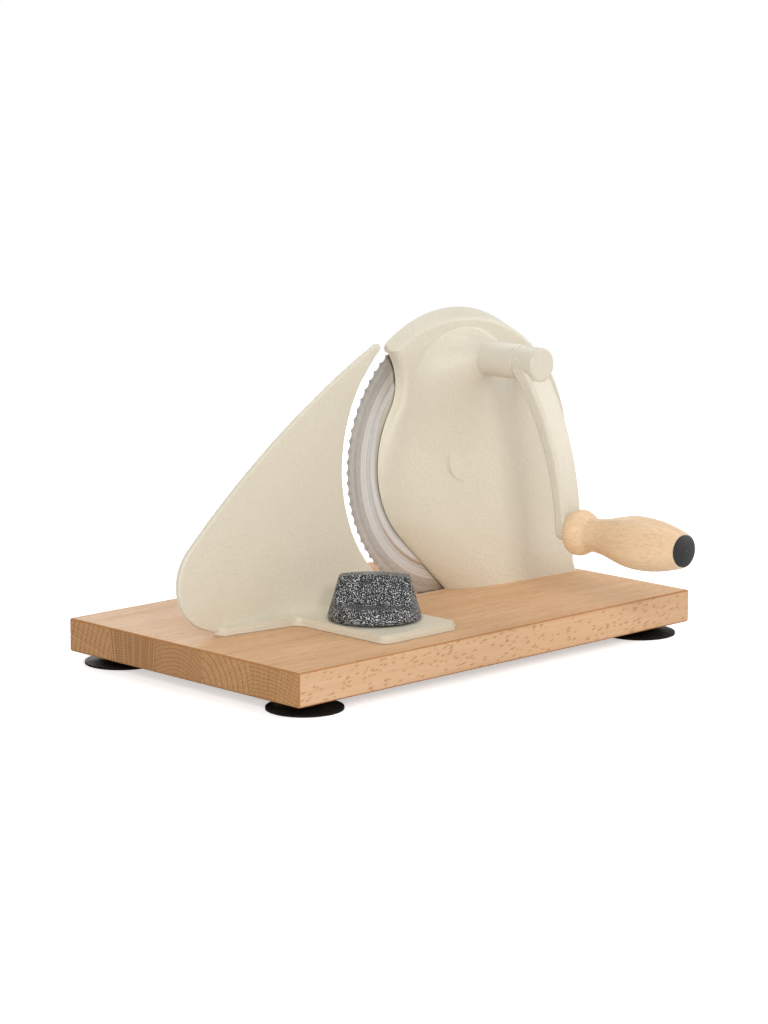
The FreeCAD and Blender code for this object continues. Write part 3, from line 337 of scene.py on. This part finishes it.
def board_beech():
    """Glued beech board: long grain on top, flecks on the long edges, rings on the ends."""
    p = Paint("board_beech")

    # Rings about each stave's pith, seen on the ends and faintly on top.
    across = p.minus(p.y, board_low.y)
    stave = p.over(across, board_high.y - board_low.y)
    hearts = p.ramp(stave, *((start, heart) for start, heart, _ in staves), steps=True)
    tones = p.ramp(stave, *((start, tone) for start, _, tone in staves), steps=True)
    heart_y, heart_z, spacing = p.parts(hearts)
    dy = p.minus(across, p.times(heart_y, pith_unit))
    dz = p.plus(p.minus(p.z, board_high.z), p.times(heart_z, pith_unit))
    wander = p.grain(3, 26, 26, detail=2)
    distance = p.plus(p.length(dy, dz), p.times(wander, ring_wander))
    ring = p.math("FRACT", p.over(distance, p.times(spacing, ring_unit)))
    late = p.ramp(ring, (0.0, 0.0), (0.72, 0.0), (0.92, 1.0), (1.0, 0.0))

    # The top and the underside.
    light, warm, dark = (0.735, 0.482, 0.290), (0.640, 0.390, 0.213), (0.430, 0.235, 0.115)
    fibres = p.grain(14, 900, 900, detail=3, roughness=0.6)
    bands = p.grain(2.2, 70, 70, detail=3, roughness=0.55)
    pores = p.grain(110, 1250, 1250, detail=2, roughness=0.6)
    long_grain = p.mix(p.fade(bands, 0.3, 0.7), warm, light)
    long_grain = p.mix(p.times(late, 0.16), long_grain, dark)
    long_grain = p.mix(p.fade(fibres, 0.44, 0.70, most=0.42), long_grain, dark)
    long_grain = p.mix(p.fade(pores, 0.52, 0.66, most=0.48), long_grain, dark)

    # The long edges, with beech's short dark flecks, drawn out along the board and tilted.
    edge_light, edge_warm = (0.705, 0.462, 0.278), (0.650, 0.403, 0.230)
    edge_dark, fleck_brown = (0.480, 0.270, 0.135), (0.400, 0.195, 0.085)
    tilted = p.minus(p.z, p.times(p.x, 0.18))
    drawn_out = p.vector(p.times(p.x, 0.27), 0.0, tilted)
    spot, chance = p.cells(drawn_out, scale=640, randomness=0.9)
    uneven_spot = p.plus(spot, p.times(p.parts(chance)[0], 0.12))
    fleck = p.ramp(uneven_spot, (0.29, 1.0), (0.41, 0.0))
    edge_bands = p.grain(5, 5, 160, detail=3)
    edge = p.mix(p.fade(edge_bands, 0.3, 0.7), edge_warm, edge_light)
    edge = p.mix(p.fade(fibres, 0.44, 0.70, most=0.22), edge, edge_dark)
    edge = p.mix(p.times(fleck, 0.66), edge, fleck_brown)

    # The ends: a tone for each stave, late wood, pores, and rays that run out from the pith.
    end_dark, end_light = (0.355, 0.180, 0.077), (0.560, 0.308, 0.138)
    late_wood, end_pore, pale_ray = (0.205, 0.088, 0.031), (0.25, 0.115, 0.046), (0.70, 0.45, 0.25)
    end_pores = p.grain(60, 950, 950, detail=2, roughness=0.6)
    rays = p.line_noise(p.math("ARCTAN2", dy, dz), scale=110, detail=2)
    end = p.mix(p.parts(tones)[0], end_dark, end_light)
    end = p.mix(p.times(late, 0.80), end, late_wood)
    end = p.mix(p.fade(end_pores, 0.42, 0.70, most=0.48), end, end_pore)
    end = p.mix(p.fade(rays, 0.50, 0.70, most=0.42), end, pale_ray)

    # Each face gets its own grain, and the eased arrises get painted shade, a darker brown.
    arris_shade_brown = (0.400, 0.175, 0.055)
    side_from, side_full = 0.6, 0.75    # how squarely a face looks to the side
    away_x, away_y, away_z = (p.math("ABSOLUTE", side) for side in p.parts(p.facing))
    wood = p.mix(p.fade(away_y, side_from, side_full), long_grain, edge)
    wood = p.mix(p.fade(away_x, side_from, side_full), wood, end)
    squarest = p.math("MAXIMUM", p.math("MAXIMUM", away_x, away_y), away_z)
    painted_arris_shade = p.ramp(squarest, (0.88, 0.85), (0.99, 0.0))
    p.colour(p.mix(painted_arris_shade, wood, arris_shade_brown))
    p.rough(p.ramp(fibres, (0.3, 0.46), (0.7, 0.58)))
    p.gloss(0.08)
    p.bump(p.minus(p.times(fibres, 0.5), p.times(fleck, 0.25)), depth=0.00006)
    return p.material


def grip_beech():
    """Waxed beech turned on a lathe, its grain along the grip and paler end grain."""
    p = Paint("grip_beech")
    honey, pale_honey = (0.760, 0.520, 0.305), (0.830, 0.600, 0.375)
    fibre_brown, pore_brown = (0.600, 0.355, 0.180), (0.500, 0.275, 0.125)
    end_pale = (0.840, 0.680, 0.450)
    fibres = p.grain(700, 22, 700, detail=3, roughness=0.6)
    bands = p.grain(75, 6, 75, detail=3, roughness=0.55)
    pores = p.grain(1700, 130, 1700, detail=2, roughness=0.6)
    lathe_marks = p.line_noise(p.y, scale=900, detail=2)
    base = p.mix(p.fade(bands, 0.3, 0.7), honey, pale_honey)
    base = p.mix(p.fade(fibres, 0.46, 0.72, most=0.36), base, fibre_brown)
    base = p.mix(p.fade(pores, 0.54, 0.68, most=0.40), base, pore_brown)
    away_y = p.math("ABSOLUTE", p.parts(p.facing)[1])
    p.colour(p.mix(p.fade(away_y, 0.90, 0.98), base, end_pale))
    p.rough(p.ramp(fibres, (0.3, 0.34), (0.7, 0.46)))
    p.bump(p.plus(p.times(fibres, 0.6), p.times(lathe_marks, 0.12)), depth=0.00004)
    return p.material


# ------------------------------------------------------------------ dress the CAD nodes

bronze = (0.50, 0.31, 0.12), (0.66, 0.44, 0.20)
gear_grey = (0.30, 0.30, 0.31), (0.46, 0.46, 0.47)
finishes = (
    (cream_enamel(), ["blade_housing", "crank_arm", "stop_plate"]),
    (blade_steel(), ["serrated_blade"]),
    (turned_metal("gear_steel", *gear_grey, blade_axis, roughness=0.38), ["blade_gear"]),
    (turned_metal("pinion_steel", *gear_grey, crank_axis, roughness=0.36), ["crank_pinion"]),
    (turned_metal("bronze", *bronze, blade_axis, roughness=0.34),
     ["blade_bush", "shaft_bush", "knob_insert"]),
    (plated_steel(), ["foot_screws", "housing_screws", "screw_washers", "blade_rivets",
                      "blade_washer", "blade_screw", "crank_shaft", "thrust_washer",
                      "grip_bolt", "grip_washer", "clamp_bolt", "clamp_washer"]),
    (cup_rubber(), [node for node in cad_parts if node.startswith("suction_foot")]),
    (speckled_plastic(), ["thickness_knob"]),
    (cap_plastic(), ["grip_cap"]),
    (board_beech(), ["base_board"]),
    (grip_beech(), ["crank_grip"]),
)
for material, nodes in finishes:
    for node in nodes:
        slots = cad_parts[node].data.materials
        slots.clear()
        slots.append(material)

# ------------------------------------------------------------------ stage, lights and camera

target = Vector((0.0, 0.0, 0.09))
lamps = {    # place from the target and size in metres, power in watts
    "key": ((-0.84, -1.48, 0.72), 0.30, 8.4),
    "left": ((-1.80, -0.99, 0.81), 1.4, 24.0),
    "right": ((1.73, -1.04, 0.87), 1.4, 23.5),
    "top": ((0.34, 0.26, 1.70), 1.3, 10.0),
    "back": ((0.75, 1.95, 0.60), 1.4, 19.0),
}
floor_half = 0.9         # half of its side
floor_glow = 0.50        # strength that only the camera sees
sky_light = 0.17         # the surroundings' strength as a light

camera_place = (-1.32173, -1.32519, 0.42912)
camera_yaw, camera_pitch = math.radians(44.03), math.radians(10.33)
camera_lens = 113.6      # millimetres


def place_and_aim(name, data, place, direction):
    """Put a lamp or camera in the scene, looking along a direction."""
    item = bpy.data.objects.new(name, data)
    item.location = place
    item.rotation_mode = "QUATERNION"
    item.rotation_quaternion = direction.to_track_quat("-Z", "Y")
    bpy.context.scene.collection.objects.link(item)
    return item


def floor():
    """Plain white floor that keeps the object's shadow."""
    mesh = bpy.data.meshes.new("floor")
    signs = ((-1, -1), (1, -1), (1, 1), (-1, 1))
    corners = [(floor_half * x, floor_half * y, 0) for x, y in signs]
    mesh.from_pydata(corners, [], [(0, 1, 2, 3)])
    plane = bpy.data.objects.new("floor", mesh)
    bpy.context.scene.collection.objects.link(plane)
    material = bpy.data.materials.new("floor_white")
    material.use_nodes = True
    tree = material.node_tree
    rays = tree.nodes.new("ShaderNodeLightPath").outputs
    scaled = tree.nodes.new("ShaderNodeMath")
    scaled.operation = "MULTIPLY"
    glow = fill(tree, scaled, {0: rays["Is Camera Ray"], 1: floor_glow})[0]
    fill(tree, tree.nodes["Principled BSDF"], {
        "Base Color": (0.86, 0.86, 0.86), "Roughness": 0.9, "Specular IOR Level": 0.1,
        "Emission Color": (1.0, 1.0, 1.0), "Emission Strength": glow})
    mesh.materials.append(material)


def sky():
    """White surroundings: full strength where they are seen or mirrored, softer as a light."""
    world = bpy.data.worlds.new("studio")
    bpy.context.scene.world = world
    world.use_nodes = True
    tree = world.node_tree
    rays = tree.nodes.new("ShaderNodeLightPath").outputs
    seen = rays["Is Camera Ray"]
    for kind in ("Is Glossy Ray", "Is Transmission Ray"):
        either = tree.nodes.new("ShaderNodeMath")
        either.operation = "MAXIMUM"
        seen = fill(tree, either, {0: seen, 1: rays[kind]})[0]
    strength = fill(tree, tree.nodes.new("ShaderNodeMapRange"), {
        "Value": seen, "To Min": sky_light, "To Max": 1.0})["Result"]
    fill(tree, tree.nodes["Background"], {"Color": (1.0, 1.0, 1.0), "Strength": strength})


def softbox(name, offset, size, power):
    """Square area light, placed from the target and aimed at it."""
    data = bpy.data.lights.new(name, "AREA")
    data.shape = "SQUARE"
    data.size = size
    data.energy = power
    place = target + Vector(offset)
    place_and_aim(name, data, place, target - place)


def camera():
    """Camera at the photograph's angle."""
    level = math.cos(camera_pitch)
    forward = Vector((level * math.sin(camera_yaw), level * math.cos(camera_yaw),
                      -math.sin(camera_pitch)))
    data = bpy.data.cameras.new("camera")
    data.lens = camera_lens
    data.clip_end = 50.0
    bpy.context.scene.camera = place_and_aim("camera", data, camera_place, forward)


floor()
sky()
for name, (offset, size, power) in lamps.items():
    softbox(name, offset, size, power)
camera()
bpy.context.scene.view_settings.view_transform = "Standard"
